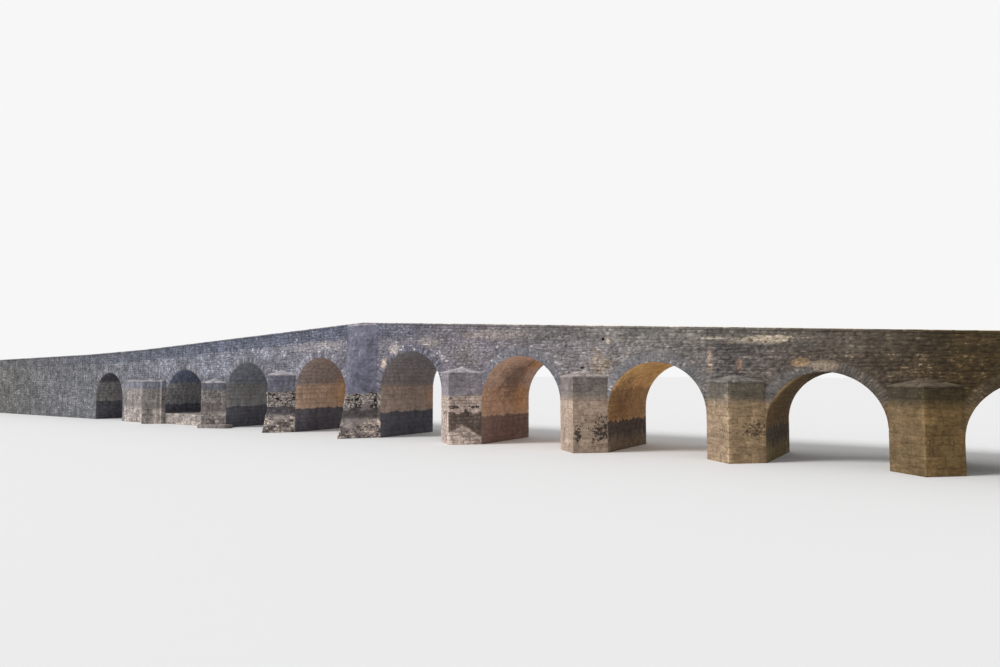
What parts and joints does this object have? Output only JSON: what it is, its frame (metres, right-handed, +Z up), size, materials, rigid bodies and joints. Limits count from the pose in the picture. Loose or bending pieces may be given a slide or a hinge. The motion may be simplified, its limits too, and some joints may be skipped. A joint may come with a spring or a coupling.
{
  "type": "stone arch bridge, 1:10 scale model",
  "caption": "Scale model of an old stone river bridge with round arches, pointed cutwaters with sloping caps, parapets and a humped road.",
  "frame": {"origin": "middle of the bridge's length and width at the water line, under the lowest pier feet", "axes": "+X along the bridge towards its shorter, right end, +Y from the pictured face to the far face, +Z up"},
  "size_m": [9.302, 0.949, 0.736],
  "materials": {
    "ring_stone": "weathered wedge stones",
    "wall_stone": "weathered coursed rubble",
    "pier_stone": "weathered dressed stone",
    "coping_stone": "weathered slabs",
    "road_stone": "worn setts",
    "rubble_fill": "rubble and earth"
  },
  "bodies": {
    "root": {"arch_1": "ring_stone", "arch_2": "ring_stone", "arch_3": "ring_stone", "arch_4": "ring_stone", "arch_5": "ring_stone", "arch_6": "ring_stone", "arch_7": "ring_stone", "arch_8": "ring_stone", "arch_9": "ring_stone", "pier_1": "pier_stone", "pier_2": "pier_stone", "pier_3": "pier_stone", "pier_4": "pier_stone", "pier_5": "pier_stone", "pier_6": "pier_stone", "pier_7": "pier_stone", "pier_8": "pier_stone", "spandrel_1": "wall_stone", "spandrel_2": "wall_stone", "spandrel_3": "wall_stone", "spandrel_4": "wall_stone", "spandrel_5": "wall_stone", "spandrel_6": "wall_stone", "spandrel_7": "wall_stone", "spandrel_8": "wall_stone", "left_approach_walls": "wall_stone", "right_approach_walls": "wall_stone", "left_abutment": "pier_stone", "right_abutment": "pier_stone", "end_walls": "wall_stone", "core_fill": "rubble_fill", "roadway": "road_stone", "parapets_approach": "wall_stone", "parapets_rise": "wall_stone", "parapets_fall": "wall_stone", "copings_approach": "coping_stone", "copings_rise": "coping_stone", "copings_fall": "coping_stone", "cutwater_1": "pier_stone", "cutwater_2": "pier_stone", "cutwater_3": "pier_stone", "buttress_4": "pier_stone", "cutwater_5": "pier_stone", "cutwater_6": "pier_stone", "cutwater_7": "pier_stone", "cutwater_8": "pier_stone", "cutwater_caps": "coping_stone", "pier_1_apron": "pier_stone", "pier_2_footing": "pier_stone", "arch_2_sill": "ring_stone"}
  },
  "joints": []
}
